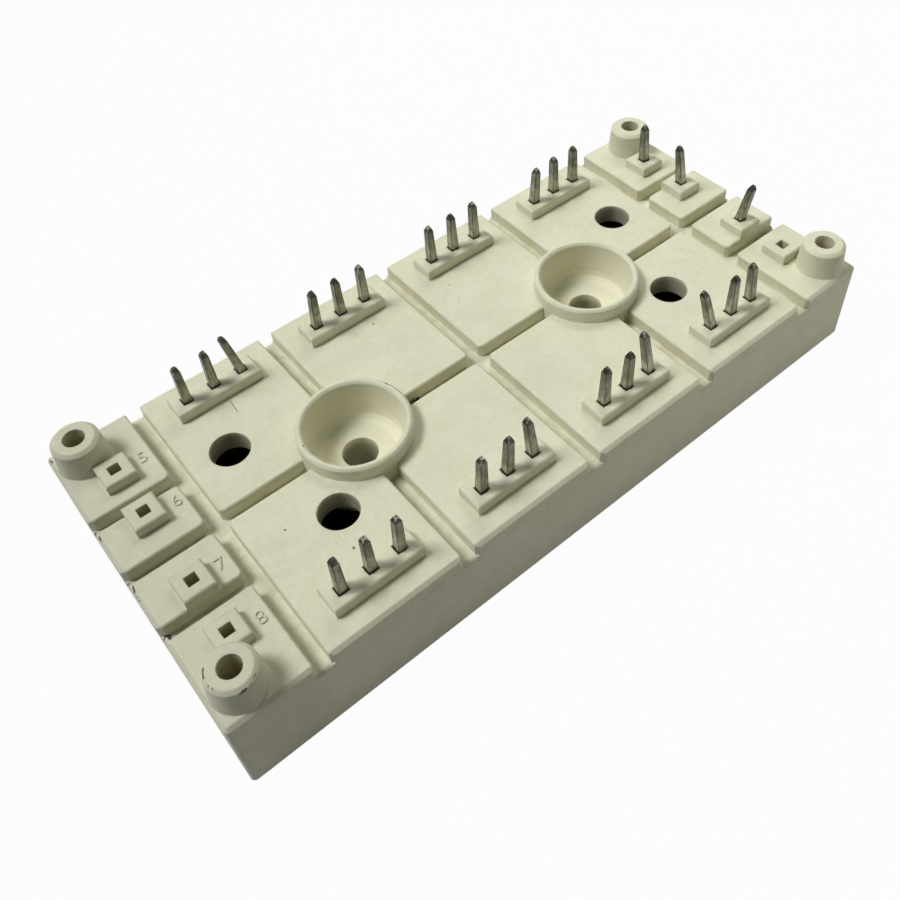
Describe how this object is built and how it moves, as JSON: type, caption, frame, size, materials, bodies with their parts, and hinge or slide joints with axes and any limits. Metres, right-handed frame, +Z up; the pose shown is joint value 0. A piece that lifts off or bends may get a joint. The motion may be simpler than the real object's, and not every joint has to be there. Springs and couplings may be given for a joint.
{
  "type": "power module",
  "caption": "Solder-pin power module: a panelled plastic housing over a ceramic substrate, with screw bowls, corner bosses and square pins.",
  "frame": {"origin": "middle of the heat sink face, which is the underside of the bottom copper", "axes": "+X along the length, towards the end strip that carries pins; +Y across, towards the back row of pins; +Z up out of the heat sink face, the way the pins point"},
  "size_m": [0.0932, 0.0414, 0.0193],
  "materials": {
    "housing_plastic": "moulded matte, ivory",
    "ceramic": "unglazed white alumina",
    "adhesive": "cured silicone",
    "gel": "soft cured silicone gel",
    "tinned_pins": "dull tin on copper alloy",
    "bond_ribbons": "bright bonded strip",
    "chips": "metallised silicon",
    "copper": "bare copper, lightly oxidised"
  },
  "bodies": {
    "root": {"adhesive_seal": "adhesive", "bottom_copper": "copper", "ceramic_plate": "ceramic", "diode_brake": "chips", "diode_minus_1": "chips", "diode_minus_2": "chips", "diode_minus_3": "chips", "diode_plus_1": "chips", "diode_plus_2": "chips", "diode_plus_3": "chips", "gel_fill": "gel", "housing": "housing_plastic", "pad_emitter_sense": "copper", "pad_gate": "copper", "pad_plus_sense": "copper", "pin_back_01": "tinned_pins", "pin_back_02": "tinned_pins", "pin_back_03": "tinned_pins", "pin_back_04": "tinned_pins", "pin_back_05": "tinned_pins", "pin_back_06": "tinned_pins", "pin_back_07": "tinned_pins", "pin_back_08": "tinned_pins", "pin_back_09": "tinned_pins", "pin_back_10": "tinned_pins", "pin_back_11": "tinned_pins", "pin_back_12": "tinned_pins", "pin_end_1": "tinned_pins", "pin_end_2": "tinned_pins", "pin_end_3": "tinned_pins", "pin_front_01": "tinned_pins", "pin_front_02": "tinned_pins", "pin_front_03": "tinned_pins", "pin_front_04": "tinned_pins", "pin_front_05": "tinned_pins", "pin_front_06": "tinned_pins", "pin_front_07": "tinned_pins", "pin_front_08": "tinned_pins", "pin_front_09": "tinned_pins", "pin_front_10": "tinned_pins", "pin_front_11": "tinned_pins", "pin_front_12": "tinned_pins", "ribbons_brake": "bond_ribbons", "ribbons_control": "bond_ribbons", "ribbons_phase_1": "bond_ribbons", "ribbons_phase_2": "bond_ribbons", "ribbons_phase_3": "bond_ribbons", "switch_brake": "chips", "track_brake": "copper", "track_minus": "copper", "track_phase_1": "copper", "track_phase_2": "copper", "track_phase_3": "copper", "track_plus": "copper"}
  },
  "joints": []
}
